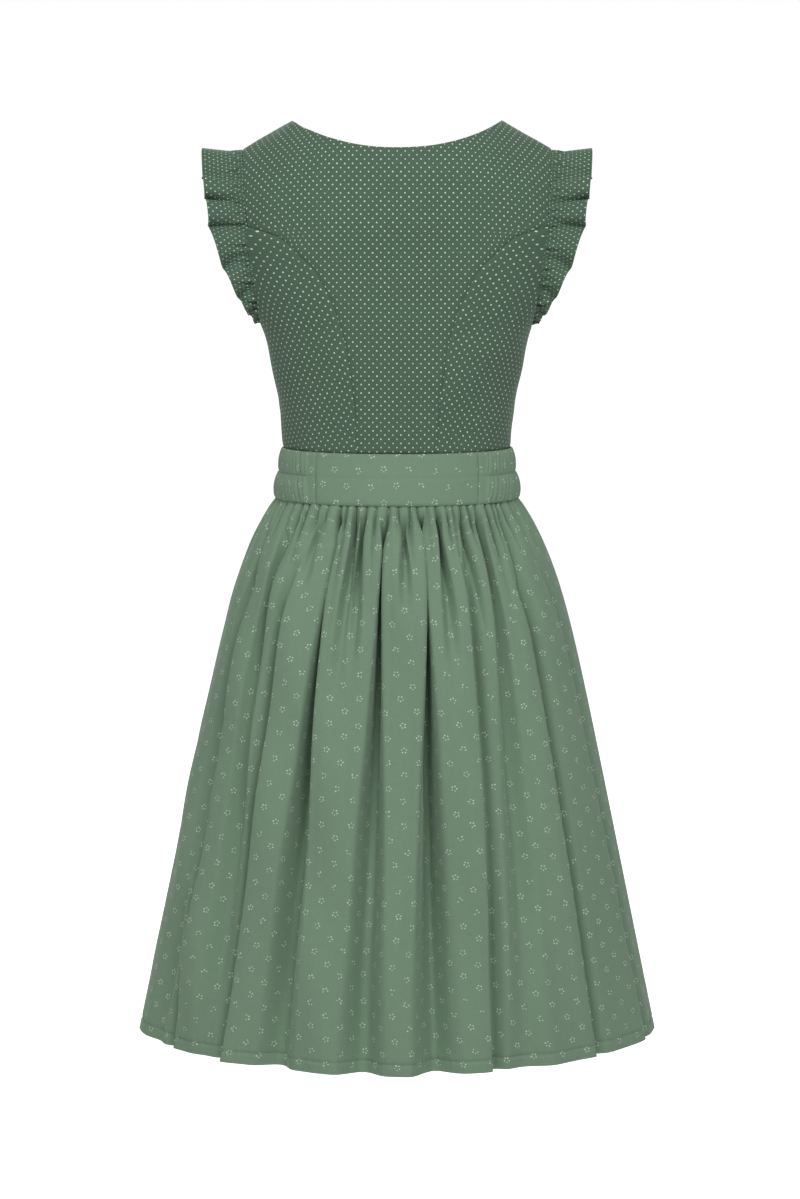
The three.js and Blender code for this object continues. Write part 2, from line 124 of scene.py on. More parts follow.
# ---- Bodice back, centre panel ------------------------------------------------------------------
# The middle of the back, one piece of dark green cotton with a small pale dot, cut from the neckline
# and the shoulders down to the waist. Its curved sides are stitched to the side panels.
NECK_HALF = 0.118
SHOULDER_HALF = 0.175
SHOULDER_FALL = 0.57
SHOULDER_ROUND = 0.090
NECK_DROP = {"back": 0.030, "front": 0.130}
NECK_CURVE = 2.25
FACING = {"back": 1, "front": -1}
UNDERARM = -0.235
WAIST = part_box("back_centre")[0].z
CLOTH_THICK = 0.0009


def table(names, rows):
    """Turns rows that go down in z into named columns."""
    return {name: np.array(values, float) for name, values in zip(names.split(), zip(*rows))}


def read(columns, name, z):
    """Reads a column of a table smoothly between its rows, at any heights z."""
    heights, values = columns["z"], columns[name]
    slopes = np.empty(len(heights))
    slopes[1:-1] = (values[2:] - values[:-2]) / (heights[2:] - heights[:-2])
    slopes[0] = (values[1] - values[0]) / (heights[1] - heights[0])
    slopes[-1] = (values[-1] - values[-2]) / (heights[-1] - heights[-2])
    z = np.clip(z, heights[-1], heights[0])
    i = np.clip(np.searchsorted(-heights, -z, side="right") - 1, 0, len(heights) - 2)
    span = heights[i + 1] - heights[i]
    t = (z - heights[i]) / span
    upper = values[i] * (1 + 2 * t) * (1 - t) ** 2 + slopes[i] * span * t * (1 - t) ** 2
    lower = values[i + 1] * t * t * (3 - 2 * t) - slopes[i + 1] * span * t * t * (1 - t)
    return upper + lower


TORSO = table("z half back front back_square front_square", [
    (0.000, 0.2050, 0.0720, 0.0750, 2.30, 2.50),
    (-0.060, 0.2030, 0.0860, 0.0820, 2.30, 2.50),
    (-0.118, 0.1950, 0.0950, 0.0920, 2.30, 2.50),
    (-0.160, 0.1840, 0.0970, 0.1050, 2.30, 2.45),
    (-0.190, 0.1720, 0.0980, 0.1170, 2.28, 2.40),
    (-0.235, 0.1526, 0.0990, 0.1290, 2.25, 2.35),
    (-0.270, 0.1442, 0.1000, 0.1280, 2.20, 2.30),
    (-0.315, 0.1353, 0.0970, 0.1080, 2.15, 2.25),
    (-0.340, 0.1324, 0.0955, 0.0960, 2.15, 2.20),
    (-0.369, 0.1299, 0.0950, 0.0885, 2.15, 2.15),
])
ARMHOLE = {
    "back": table("z half", [
        (-0.0325, 0.1750), (-0.089, 0.1710), (-0.118, 0.1684), (-0.134, 0.1668), (-0.190, 0.1590),
        (-0.235, 0.1526),
    ]),
    "front": table("z half", [
        (-0.0325, 0.1750), (-0.089, 0.1665), (-0.150, 0.1595), (-0.190, 0.1560), (-0.235, 0.1526),
    ]),
}
PRINCESS = {
    "back": table("z half", [
        (-0.118, 0.1684), (-0.128, 0.1350), (-0.145, 0.1130), (-0.166, 0.0920), (-0.189, 0.0785),
        (-0.211, 0.0685), (-0.232, 0.0617), (-0.262, 0.0545), (-0.315, 0.0477), (-0.369, 0.0448),
    ]),
    "front": table("z half", [
        (-0.150, 0.1595), (-0.160, 0.1380), (-0.178, 0.1180), (-0.205, 0.1020), (-0.235, 0.0920),
        (-0.262, 0.0840), (-0.295, 0.0730), (-0.330, 0.0610), (-0.369, 0.0520),
    ]),
}


def shoulder_line(x):
    return -SHOULDER_FALL * (np.abs(x) - NECK_HALF)


def top_edge(side, x):
    across = np.minimum(np.abs(x) / NECK_HALF, 1)
    return np.where(across < 1, -NECK_DROP[side] * (1 - across ** NECK_CURVE), shoulder_line(x))


def section_share(columns, side, x, z):
    """What is left of a section's reach at x, as a share."""
    square = read(columns, side + "_square", z)
    across = np.minimum(np.abs(x) / read(columns, "half", z), 1)
    return (1 - across ** square) ** (1 / square)


def on_torso(side, x, z):
    """Points of the bodice over x and z, rounded over at the shoulder."""
    rounding = np.clip((shoulder_line(x) - z) / SHOULDER_ROUND, 0, 1)
    y = read(TORSO, side, z) * section_share(TORSO, side, x, z) * np.sqrt(1 - (1 - rounding) ** 2)
    return np.stack([x, FACING[side] * y, z], axis=-1)


def by_angle(columns, side, angle, z):
    """Points of a section in directions given in degrees round from the middle of its side."""
    square = read(columns, side + "_square", z)
    sine = np.sin(np.radians(angle))
    cosine = np.maximum(np.cos(np.radians(angle)), 0)
    radius = (np.abs(sine / read(columns, "half", z)) ** square
              + (cosine / read(columns, side, z)) ** square) ** (-1 / square)
    return np.stack([radius * sine, FACING[side] * radius * cosine, z + 0 * sine], axis=-1)


def run_along(points, axis):
    """How far each point lies along its row (axis 1) or its column (axis 0), from the first one."""
    steps = np.linalg.norm(np.diff(points, axis=axis), axis=-1)
    return np.concatenate([np.zeros_like(np.take(steps, [0], axis)), np.cumsum(steps, axis=axis)], axis=axis)


def normals_of(points, side):
    """Outward normals of a grid of points on one side of the dress."""
    across = np.gradient(points, axis=1)
    down = np.gradient(points, axis=0)
    normals = np.cross(down, across)
    normals /= np.linalg.norm(normals, axis=-1, keepdims=True) + 1e-12
    middle = normals[normals.shape[0] // 2, normals.shape[1] // 2]
    return normals * (1 if middle[1] * FACING[side] > 0 else -1)


def crowded(count, near):
    """Shares from 0 to 1, evenly spaced but for some extra ones crowded at both ends."""
    near = np.array(near)
    return np.concatenate([[0], near, np.linspace(near[-1], 1 - near[-1], count)[1:-1], 1 - near[::-1], [1]])


def roll_edges(points, normals, edges, deep=0.0013, broad=0.0016):
    """Turns a piece's edges in along the seams named by (axis, end), as stitching pulls them in."""
    for axis, end in edges:
        turned = points if end == 0 else np.flip(points, axis)
        away = run_along(turned, axis)
        away = away if end == 0 else np.flip(away, axis)
        points = points - normals * (deep * np.exp(-(away / broad) ** 2))[..., None]
    return points


def rumple(points, normals, size, high, seed):
    """Lets cloth lie a little unevenly, in soft swells of about the given size."""
    chance = np.random.default_rng(seed)
    swell = np.zeros(points.shape[:-1])
    for _ in range(9):
        way = chance.normal(size=3) * 2 * math.pi / size
        swell += np.sin(points @ way + chance.uniform(0, 2 * math.pi))
    return points + normals * (high * swell / 3)[..., None]


def lay_cloth(name, points, flat, outward, thick=CLOTH_THICK):
    """Adds a grid, lays it along points[row, column] with its place on the cut cloth, in metres, as its
    UV map, and gives it a wall with its right side out."""
    corner = np.cross(points[1, 0] - points[0, 0], points[0, 1] - points[0, 0])
    middle_row, middle_column = points.shape[0] // 2, points.shape[1] // 2
    corner = np.cross(points[middle_row + 1, middle_column] - points[middle_row, middle_column],
                      points[middle_row, middle_column + 1] - points[middle_row, middle_column])
    if np.dot(corner, outward) > 0:
        points, flat = points[::-1], flat[::-1]
    rows, columns = points.shape[:2]
    bpy.ops.object.select_all(action="DESELECT")
    bpy.ops.mesh.primitive_grid_add(x_subdivisions=columns - 1, y_subdivisions=rows - 1, size=1)
    piece = bpy.context.object
    piece.name = name
    mesh = piece.data
    places = np.empty(len(mesh.vertices) * 3)
    mesh.vertices.foreach_get("co", places)
    places = places.reshape(-1, 3)
    column = np.rint((places[:, 0] + 0.5) * (columns - 1)).astype(int)
    row = np.rint((places[:, 1] + 0.5) * (rows - 1)).astype(int)
    mesh.vertices.foreach_set("co", points[row, column].reshape(-1))
    corners = np.empty(len(mesh.loops), int)
    mesh.loops.foreach_get("vertex_index", corners)
    mesh.uv_layers[0].data.foreach_set("uv", flat[row, column][corners].reshape(-1))
    mesh.update()
    wall = piece.modifiers.new("wall", "SOLIDIFY")
    wall.thickness = thick
    wall.offset = -1
    wall.material_offset = 1
    bpy.ops.object.modifier_apply(modifier=wall.name)
    bpy.ops.object.shade_smooth_by_angle(angle=math.radians(60))
    return piece


# The shader groups that the cottons share. Each reads the place on the cut cloth, in metres.

def new_group(name, inputs, outputs):
    group = bpy.data.node_groups.new(name, "ShaderNodeTree")
    for label, kind, value in inputs:
        socket = group.interface.new_socket(label, in_out="INPUT", socket_type=kind)
        if value is not None:
            socket.default_value = value
    for label, kind in outputs:
        group.interface.new_socket(label, in_out="OUTPUT", socket_type=kind)
    return group, node(group, "NodeGroupInput").outputs


def maths(tree, operation, *values, clamp=False):
    return node(tree, "ShaderNodeMath", dict(enumerate(values)), operation=operation, use_clamp=clamp).outputs[0]


def vectors(tree, operation, *values):
    made = node(tree, "ShaderNodeVectorMath", dict(enumerate(values)), operation=operation)
    return made.outputs["Value" if operation in ("LENGTH", "DISTANCE") else "Vector"]


def soft_spot(tree, distance, radius, blur):
    """1 inside a radius and 0 outside it, with a soft rim."""
    return node(tree, "ShaderNodeMapRange", {
        "Value": distance, "From Min": maths(tree, "ADD", radius, blur),
        "From Max": maths(tree, "SUBTRACT", radius, blur), "To Min": 0.0, "To Max": 1.0,
    }, interpolation_type="SMOOTHSTEP").outputs[0]


SPOT_BLUR = 0.00028

dot_print, cut = new_group("dot print", [
    ("Cloth", "NodeSocketVector", None), ("Across", "NodeSocketFloat", 0.0089),
    ("Down", "NodeSocketFloat", 0.0094), ("Radius", "NodeSocketFloat", 0.00078),
], [("Spots", "NodeSocketFloat")])
stray = node(dot_print, "ShaderNodeTexNoise", {"Vector": cut["Cloth"], "Scale": 60.0, "Detail": 1.0})
stray_by = vectors(dot_print, "SCALE", vectors(dot_print, "SUBTRACT", stray.outputs["Color"], (0.5, 0.5, 0.5)))
stray_by.node.inputs["Scale"].default_value = 0.0012
moved = vectors(dot_print, "ADD", cut["Cloth"], stray_by)
pitch = node(dot_print, "ShaderNodeCombineXYZ", {0: cut["Across"], 1: cut["Down"], 2: 1.0}).outputs[0]
spots = []
for shift in ((0, 0, 0), (0.5, 0.5, 0)):
    squares = vectors(dot_print, "ADD", vectors(dot_print, "DIVIDE", moved, pitch), shift)
    chance = node(dot_print, "ShaderNodeTexWhiteNoise", {"Vector": vectors(dot_print, "FLOOR", squares)},
                  noise_dimensions="3D").outputs["Value"]
    inside = vectors(dot_print, "SUBTRACT", vectors(dot_print, "FRACTION", squares), (0.5, 0.5, 0))
    inside = vectors(dot_print, "MULTIPLY", vectors(dot_print, "MULTIPLY", inside, pitch), (1, 1, 0))
    radius = maths(dot_print, "MULTIPLY", cut["Radius"], maths(dot_print, "MULTIPLY_ADD", chance, 0.3, 0.85))
    spots.append(soft_spot(dot_print, vectors(dot_print, "LENGTH", inside), radius, SPOT_BLUR))
node(dot_print, "NodeGroupOutput", {0: maths(dot_print, "MAXIMUM", *spots)})

weave, cut = new_group("plain weave", [
    ("Cloth", "NodeSocketVector", None), ("Thread", "NodeSocketFloat", 0.0005),
], [("Height", "NodeSocketFloat"), ("Tone", "NodeSocketFloat")])
parts = node(weave, "ShaderNodeSeparateXYZ", {0: cut["Cloth"]}).outputs
turns = maths(weave, "DIVIDE", math.pi, cut["Thread"])
warp = maths(weave, "SINE", maths(weave, "MULTIPLY", parts[0], turns))
weft = maths(weave, "SINE", maths(weave, "MULTIPLY", parts[1], turns))
threads = maths(weave, "MULTIPLY", warp, weft)
tones = []
for stretch in ((900, 60, 1), (60, 900, 1)):
    long_way = vectors(weave, "MULTIPLY", cut["Cloth"], stretch)
    tones.append(node(weave, "ShaderNodeTexNoise", {"Vector": long_way, "Scale": 1.0, "Detail": 2.0}).outputs[0])
slubs = maths(weave, "ADD", *tones)
cloudy = node(weave, "ShaderNodeTexNoise", {"Vector": cut["Cloth"], "Scale": 9.0, "Detail": 3.0}).outputs[0]
tone = maths(weave, "MULTIPLY_ADD", slubs, 0.35, maths(weave, "MULTIPLY", cloudy, 0.3))
height = maths(weave, "MULTIPLY_ADD", threads, 0.3, slubs)
node(weave, "NodeGroupOutput", {0: height, 1: tone})


def cotton(name, dark, light, pale, sheen, spots_of=None, showing=1.0):
    """A cotton whose ground runs between two greens with its weave, under pale printed spots."""
    made = bpy.data.materials.new(name)
    made.use_nodes = True
    tree = made.node_tree
    place = node(tree, "ShaderNodeUVMap", uv_map="UVMap").outputs[0]
    woven = node(tree, "ShaderNodeGroup", {}, node_tree=weave)
    tree.links.new(place, woven.inputs["Cloth"])
    ground = node(tree, "ShaderNodeMix", {"Factor": woven.outputs["Tone"], 6: dark, 7: light},
                  data_type="RGBA").outputs[2]
    if spots_of:
        mask = maths(tree, "MULTIPLY", spots_of(tree, place), showing)
        ground = node(tree, "ShaderNodeMix", {"Factor": mask, 6: ground, 7: pale}, data_type="RGBA").outputs[2]
    bump = node(tree, "ShaderNodeBump", {"Strength": 0.35, "Distance": 0.0002, "Height": woven.outputs["Height"]})
    shader = tree.nodes["Principled BSDF"]
    tree.links.new(ground, shader.inputs["Base Color"])
    tree.links.new(bump.outputs[0], shader.inputs["Normal"])
    shader.inputs["Roughness"].default_value = 0.82
    shader.inputs["Specular IOR Level"].default_value = 0.25
    shader.inputs["Sheen Weight"].default_value = sheen
    shader.inputs["Sheen Roughness"].default_value = 0.45
    shader.inputs["Sheen Tint"].default_value = (0.75, 0.95, 0.78, 1)
    return made


def dotted(tree, place):
    return node(tree, "ShaderNodeGroup", {"Cloth": place}, node_tree=dot_print).outputs[0]


DOTTED_DARK = (0.060, 0.108, 0.070, 1)
DOTTED_LIGHT = (0.098, 0.165, 0.110, 1)
DOT_PALE = (0.66, 0.74, 0.60, 1)


def group_node(tree, group, **values):
    made = node(tree, "ShaderNodeGroup", {}, node_tree=group)
    for label, value in values.items():
        if isinstance(value, bpy.types.NodeSocket):
            tree.links.new(value, made.inputs[label])
        else:
            made.inputs[label].default_value = value
    return made.outputs


def dotted(tree, place):
    return group_node(tree, dot_print, Cloth=place)[0]


dotted_cotton = cotton("dotted cotton", DOTTED_DARK, DOTTED_LIGHT, DOT_PALE, 0.25, dotted)
dotted_inside = cotton("dotted cotton, wrong side", DOTTED_DARK, DOTTED_LIGHT, DOT_PALE, 0.2, dotted, 0.35)


def finish_piece(piece, node_name, finishes):
    """Gives a piece its right and wrong side, hangs it from the root body, and hides the CAD part it stands in
    for.
    """
    for finish in finishes:
        piece.data.materials.append(finish)
    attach(piece, "root")
    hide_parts(node_name)


def centre_half(side, z):
    seam = PRINCESS[side]
    return np.where(z > seam["z"][0], read(ARMHOLE[side], "half", z), read(seam, "half", z))


EDGE_CROWD = (0.003, 0.0065, 0.011, 0.018)


def centre_panel(side):
    """The centre panel's grid: columns in step with its sides, rows from the top edge to the waist."""
    share = NECK_HALF / SHOULDER_HALF
    half = np.concatenate([np.linspace(0, share, 34)[1:], np.linspace(share, 1, 14)[1:-4],
                           1 - np.array(EDGE_CROWD)[::-1], [1]])
    across = np.concatenate([-half[::-1], [0], half])[None, :]
    down = np.concatenate([[0, 0.0007, 0.002, 0.0045, 0.008, 0.013, 0.02, 0.03],
                           np.linspace(0.04, 0.985, 88), [0.991, 0.995, 0.998, 1]])[:, None]
    z = top_edge(side, across * SHOULDER_HALF) * (1 - down) + WAIST * down
    x = across * np.where(down == 0, SHOULDER_HALF, centre_half(side, z))
    return on_torso(side, x, z)


def flat_places(points, side):
    """Where each point lies on the cut cloth: its way round from the middle, and its drop."""
    level = points.copy()
    level[..., 2] = 0
    round_way = run_along(level, 1)
    middle = points.shape[1] // 2
    upright = points.copy()
    upright[..., 0] = 0
    drop = run_along(upright, 0)
    drop = drop - drop[-1:] + WAIST
    return np.stack([round_way - round_way[:, middle:middle + 1], -drop], axis=-1)


DOTTED_SIDES = (dotted_cotton, dotted_inside)


def sew_centre(side, name):
    points = centre_panel(side)
    places = flat_places(points, side)
    normals = normals_of(points, side)
    points = rumple(points, normals, 0.11, 0.0006, 3 if side == "back" else 4)
    points = roll_edges(points, normals, [(1, 0), (1, 1), (0, 0), (0, 1)])
    piece = lay_cloth(name, points, places, (0, FACING[side], 0))
    finish_piece(piece, side + "_centre", DOTTED_SIDES)
    return piece


sew_centre("back", "bodice_back_centre")


# ---- Bodice back, side panels -------------------------------------------------------------------
# The sides of the back, cut on their own grain from the same dotted cotton. Their curved front edges
# run from the armhole to the waist along the centre panel, and they round away to the side seams.

def side_panel(side):
    """A side panel's grid between armhole, waist, princess seam and side seam, for the left."""
    seam, hole = PRINCESS[side], ARMHOLE[side]
    seam_top = seam["z"][0]
    across = crowded(52, (0.004, 0.009, 0.016))[None, :]
    down = np.concatenate([[0, 0.003, 0.008, 0.016], np.linspace(0.03, 0.985, 84), [0.992, 0.997, 1]])[:, None]

    def angle_at(half, z):
        points = on_torso(side, half, z)
        return np.degrees(np.arctan2(points[..., 0], np.abs(points[..., 1])))

    seam_z = seam_top * (1 - down) + WAIST * down
    seam_angle = angle_at(read(seam, "half", seam_z), seam_z)
    edge_z = seam_top + (UNDERARM - seam_top) * np.sin(across * math.pi / 2)
    edge_angle = angle_at(read(hole, "half", edge_z), edge_z)
    edge_angle[:, -1] = 90
    straight = seam_angle[0, 0] * (1 - across) + 90 * across
    angle = seam_angle * (1 - across) + 90 * across + (1 - down) * (edge_angle - straight)
    z = edge_z * (1 - down) + WAIST * down
    return by_angle(TORSO, side, angle, z)


SIDE_GRAIN = math.radians(9)


def sew_side(side, name, hand, seed):
    """hand is 1 for the wearer's left and -1 for the right."""
    points = side_panel(side)
    level = points.copy()
    level[..., 2] = 0
    round_way = run_along(level, 1)
    upright = points.copy()
    upright[..., 0] = 0
    drop = run_along(upright[:, -1:], 0) + UNDERARM * -1
    places = np.stack([(round_way - round_way[:, -1:]) * hand, points[..., 2] + 0 * drop], axis=-1)
    turn = SIDE_GRAIN * hand
    grain = np.array([[math.cos(turn), math.sin(turn)], [-math.sin(turn), math.cos(turn)]])
    places = places @ grain
    normals = normals_of(points, side)
    points = rumple(points, normals, 0.10, 0.0006, seed)
    points = roll_edges(points, normals, [(1, 0), (1, 1), (0, 1)])
    points[..., 0] *= hand
    piece = lay_cloth(name, points, places, (0.5 * hand, FACING[side], 0))
    finish_piece(piece, f"{side}_side_{'left' if hand > 0 else 'right'}", DOTTED_SIDES)
    return piece


sew_side("back", "bodice_back_side_left", 1, 5)
sew_side("back", "bodice_back_side_right", -1, 6)


# ---- Bodice front -------------------------------------------------------------------------------
# The front, cut like the back in a centre and two side panels, with a deep round neckline. It is
# finished plainly, and the dress closes with a hidden zip in the left side seam.
sew_centre("front", "bodice_front_centre")
sew_side("front", "bodice_front_side_left", 1, 7)
sew_side("front", "bodice_front_side_right", -1, 8)


# ---- Armhole frills -----------------------------------------------------------------------------
# A strip of the dotted cotton twice as long as the armhole, gathered into its seam, with a narrow
# rolled hem. It stands out in deep soft flutes and tapers away to nothing under the arm.
FRILL = table("z wide lean", [
    (-0.032, 0.046, -3), (-0.060, 0.046, 2), (-0.090, 0.044, 8), (-0.118, 0.0425, 12),
    (-0.142, 0.038, 14), (-0.170, 0.031, 13), (-0.206, 0.019, 9), (-0.230, 0.007, 3),
])
# Where the dark hollows between flutes meet the seam, and where they meet the frill's edge.
FRILL_HOLLOWS = [(-0.063, -0.057), (-0.091, -0.084), (-0.117, -0.116), (-0.151, -0.166),
                 (-0.186, -0.203), (-0.205, -0.222), (-0.226, -0.232)]
FRILL_END = -0.230
FRILL_DEEP = 0.0085
FRILL_OVERLAP = 0.0045
FRILL_GATHER = 0.0016


def armhole_path(count):
    """The left armhole edge from the back's underarm over the shoulder to the front's, with normals."""
    halves = []
    for side in ("back", "front"):
        z = ARMHOLE[side]["z"][0] + (FRILL_END - ARMHOLE[side]["z"][0]) * np.linspace(0, 1, count) ** 1.25
        x = read(ARMHOLE[side], "half", z)
        edge = on_torso(side, x, z)
        inner = on_torso(side, x - 0.0015, z)
        lower = on_torso(side, x, z - 0.0015)
        normals = np.cross(inner - edge, lower - edge) * FACING[side] * -1
        normals[np.einsum("ij,ij->i", normals, edge - np.array([0, 0, -0.15])) < 0] *= -1
        halves.append((edge, normals / np.linalg.norm(normals, axis=-1, keepdims=True)))
    back, front = halves
    edge = np.concatenate([back[0][:0:-1], front[0]])
    normals = np.concatenate([back[1][:0:-1], front[1]])
    normals[count - 1] = (SHOULDER_FALL, 0, 1)
    normals[count - 1] /= np.linalg.norm(normals[count - 1])
    return edge, normals


def unit(vectors_):
    return vectors_ / np.linalg.norm(vectors_, axis=-1, keepdims=True)


def frill(hand, seed):
    count = 230
    edge, normals = armhole_path(count)
    tip = count - 1
    along = unit(np.gradient(edge, axis=0))
    leaving = unit(np.cross(along, normals))
    leaving *= np.sign(leaving[:, :1])
    radial = unit(np.cross(along, np.array([1.0, 0, 0])))
    radial *= np.sign(np.einsum("ij,ij->i", radial, normals))[:, None]
    run = np.concatenate([[0], np.cumsum(np.linalg.norm(np.diff(edge, axis=0), axis=1))])
    run = run - run[tip]
    z = edge[:, 2]
    chance = np.random.default_rng(seed)

    def flutes(which):
        """Counts the flutes along the armhole: whole numbers fall on the hollows."""
        places, counts = [0.0], [0.5]
        for number, hollow in enumerate(FRILL_HOLLOWS, start=1):
            back_run = np.interp(hollow[which], z[:tip + 1], run[:tip + 1])
            front_run = np.interp(-hollow[which], -z[tip:], run[tip:])
            shift = chance.uniform(-0.002, 0.002)
            places = [back_run, *places, front_run + shift]
            counts = [number, *counts, 1 - number]
        return np.interp(run, places, counts)

    at_seam, at_edge = flutes(0), flutes(1)
    shares = np.concatenate([np.linspace(0, 1, 24) ** 1.15, [1.02, 1.035]])
    wide = read(FRILL, "wide", z)
    lean = np.radians(read(FRILL, "lean", z))
    hanging = unit(np.cos(lean)[:, None] * np.array([1.0, 0, 0]) + np.sin(lean)[:, None] * radial)
    gathers = chance.uniform(0, 2 * math.pi, 3)
    place = edge - normals * CLOTH_THICK / 2
    before = 0.0
    rows = []
    for share in shares:
        turned = unit(leaving + (hanging - leaving) * min(share / 0.45, 1))
        place = place + turned * ((min(share, 1) - before) * wide)[:, None]
        before = min(share, 1)
        count_here = at_seam + (at_edge - at_seam) * share
        out = min(share, 1) * wide / 0.046
        deep = FRILL_DEEP * out ** 0.85 * (1 - 2 * np.abs(np.cos(np.pi * count_here)) ** 3)
        over = FRILL_OVERLAP * out * np.sin(2 * np.pi * count_here)
        fine = sum(np.sin(run * 2 * math.pi / size + start)
                   for size, start in zip((0.0085, 0.0113, 0.0061), gathers))
        deep = deep + FRILL_GATHER * fine * np.exp(-(share * wide / 0.011)) * min(share * 6, 1)
        curl = max(share - 1, 0) * 0.05
        facing = unit(np.cross(turned, along))
        facing *= np.sign(np.einsum("ij,ij->i", facing, radial))[:, None]
        rows.append(place + facing * (deep - curl)[:, None] + along * over[:, None])
    points = np.stack(rows, axis=0)
    cloth_run = run * 1.9
    places = np.stack([np.broadcast_to(cloth_run, points.shape[:2]),
                       shares[:, None] * wide[None, :]], axis=-1)
    points[..., 0] *= hand
    return points, places


for hand, hand_name in ((1, "left"), (-1, "right")):
    points, places = frill(hand, 11 + hand)
    piece = lay_cloth("frill_" + hand_name, points, places, (0, 0.2, 1))
    finish_piece(piece, "frill_" + hand_name, DOTTED_SIDES)


# ---- Waistband ----------------------------------------------------------------------------------
# A band of the lighter sprigged cotton: flat pieces behind and in front, and shirred sides, gathered
# on elastic and stitched round at mid height.
BAND_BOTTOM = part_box("band_back")[0].z
BAND = table("z half back front back_square front_square", [
    (-0.369, 0.1315, 0.0965, 0.0900, 2.15, 2.15),
    (-0.427, 0.1402, 0.1024, 0.0974, 2.15, 2.15),
])
BAND_SEAM = 0.0915
BAND_STITCH_SHARE = 0.47

flower_print, cut = new_group("flower print", [
    ("Cloth", "NodeSocketVector", None), ("Across", "NodeSocketFloat", 0.034),
    ("Down", "NodeSocketFloat", 0.0295), ("Ring", "NodeSocketFloat", 0.0028),
    ("Radius", "NodeSocketFloat", 0.00075),
], [("Spots", "NodeSocketFloat")])
PETALS = 5
petal_turn = 2 * math.pi / PETALS
pitch = node(flower_print, "ShaderNodeCombineXYZ", {0: cut["Across"], 1: cut["Down"], 2: 1.0}).outputs[0]
spots = []
for shift in ((0, 0, 0), (0.5, 0.5, 0)):
    squares = vectors(flower_print, "ADD", vectors(flower_print, "DIVIDE", cut["Cloth"], pitch), shift)
    corner = vectors(flower_print, "FLOOR", squares)
    chance = node(flower_print, "ShaderNodeTexWhiteNoise", {"Vector": corner}, noise_dimensions="3D").outputs
    jitter = vectors(flower_print, "SUBTRACT", chance["Color"], (0.5, 0.5, 0.5))
    inside = vectors(flower_print, "SUBTRACT", vectors(flower_print, "FRACTION", squares), (0.5, 0.5, 0))
    inside = vectors(flower_print, "MULTIPLY", inside, pitch)
    inside = vectors(flower_print, "ADD", inside, vectors(flower_print, "MULTIPLY", jitter, (0.003, 0.003, 0)))
    x, y, _ = node(flower_print, "ShaderNodeSeparateXYZ", {0: inside}).outputs
    spin = maths(flower_print, "MULTIPLY", chance["Value"], 2 * math.pi)
    angle = maths(flower_print, "ADD", maths(flower_print, "ARCTAN2", y, x), spin)
    petal = maths(flower_print, "ROUND", maths(flower_print, "DIVIDE", angle, petal_turn))
    off_petal = maths(flower_print, "SUBTRACT", angle, maths(flower_print, "MULTIPLY", petal, petal_turn))
    level = vectors(flower_print, "MULTIPLY", inside, (1, 1, 0))
    out = vectors(flower_print, "LENGTH", level)
    ring = cut["Ring"]
    square_sum = maths(flower_print, "ADD", maths(flower_print, "MULTIPLY", out, out),
                       maths(flower_print, "MULTIPLY", ring, ring))
    cross = maths(flower_print, "MULTIPLY", maths(flower_print, "MULTIPLY", out, ring),
                  maths(flower_print, "MULTIPLY", maths(flower_print, "COSINE", off_petal), 2.0))
    distance = maths(flower_print, "SQRT", maths(flower_print, "MAXIMUM",
                                                 maths(flower_print, "SUBTRACT", square_sum, cross), 0.0))
    petal_number = maths(flower_print, "WRAP", petal, 5.0, 0.0)
    mark = node(flower_print, "ShaderNodeCombineXYZ", {2: petal_number}).outputs[0]
    own = node(flower_print, "ShaderNodeTexWhiteNoise", {"Vector": vectors(flower_print, "ADD", corner, mark)},
               noise_dimensions="3D").outputs["Value"]
    kept = maths(flower_print, "GREATER_THAN", own, 0.1)
    radius = maths(flower_print, "MULTIPLY", cut["Radius"], maths(flower_print, "MULTIPLY_ADD", own, 0.5, 0.7))
    spots.append(maths(flower_print, "MULTIPLY", soft_spot(flower_print, distance, radius, SPOT_BLUR), kept))
node(flower_print, "NodeGroupOutput", {0: maths(flower_print, "MAXIMUM", *spots)})

SPRIG_DARK = (0.150, 0.232, 0.156, 1)
SPRIG_LIGHT = (0.222, 0.330, 0.228, 1)
SPRIG_PALE = (0.58, 0.68, 0.54, 1)


def sprigged(tree, place):
    return group_node(tree, flower_print, Cloth=place)[0]


def band_sprigged(tree, place):
    return group_node(tree, flower_print, Cloth=place, Across=0.028, Down=0.036)[0]


sprigged_cotton = cotton("sprigged cotton", SPRIG_DARK, SPRIG_LIGHT, SPRIG_PALE, 0.3, sprigged)
sprigged_inside = cotton("sprigged cotton, wrong side", SPRIG_DARK, SPRIG_LIGHT, SPRIG_PALE, 0.2, sprigged, 0.35)
band_cotton = cotton("sprigged cotton, band", SPRIG_DARK, SPRIG_LIGHT, SPRIG_PALE, 0.3, band_sprigged)
BAND_SIDES = (band_cotton, sprigged_inside)
SKIRT_SIDES = (sprigged_cotton, sprigged_inside)


def band_seam_angle(side, z):
    reach = read(BAND, side, z) * section_share(BAND, side, BAND_SEAM, z)
    return np.degrees(np.arctan2(BAND_SEAM, reach))


def stitch_groove(points, normals, away, deep=0.0007, broad=0.0012):
    """Presses a line of stitching into cloth, where away is the distance from the line."""
    return points - normals * (deep * np.exp(-(away / broad) ** 2))[..., None]


